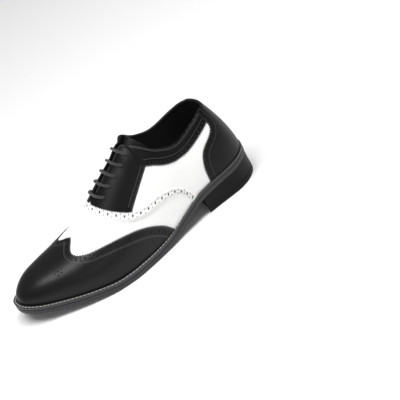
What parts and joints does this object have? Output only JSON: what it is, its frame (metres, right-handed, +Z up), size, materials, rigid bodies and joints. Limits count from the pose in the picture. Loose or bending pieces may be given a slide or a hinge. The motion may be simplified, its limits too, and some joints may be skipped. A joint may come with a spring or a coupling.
{
  "type": "shoe",
  "caption": "Two-tone full-brogue wingtip oxford for a left foot: hollow laced upper with black overlays on white, welted sole and stacked heel.",
  "frame": {"origin": "on the floor, at the middle of the sole's bounding box", "axes": "+X towards the toe, +Y to the outer (lateral) side of the left foot, +Z up"},
  "size_m": [0.29, 0.1055, 0.1145],
  "materials": {
    "black_leather": "polished smooth calf",
    "white_leather": "smooth, soft sheen",
    "sole_rubber": "matt, trimmed edge",
    "welt_leather": "dyed and waxed",
    "heel_rubber": "matt",
    "sock_leather": "matt lining leather",
    "lace_cotton": "round waxed cord"
  },
  "bodies": {
    "root": {"outsole": "sole_rubber", "welt": "welt_leather", "insole": "sock_leather", "heel": "heel_rubber", "upper": "white_leather", "wing_cap": "black_leather", "vamp_band": "white_leather", "facing_lateral": "black_leather", "facing_medial": "black_leather", "collar_band_lateral": "black_leather", "collar_band_medial": "black_leather", "heel_counter": "black_leather", "tongue": "black_leather", "lace": "lace_cotton"}
  },
  "joints": []
}
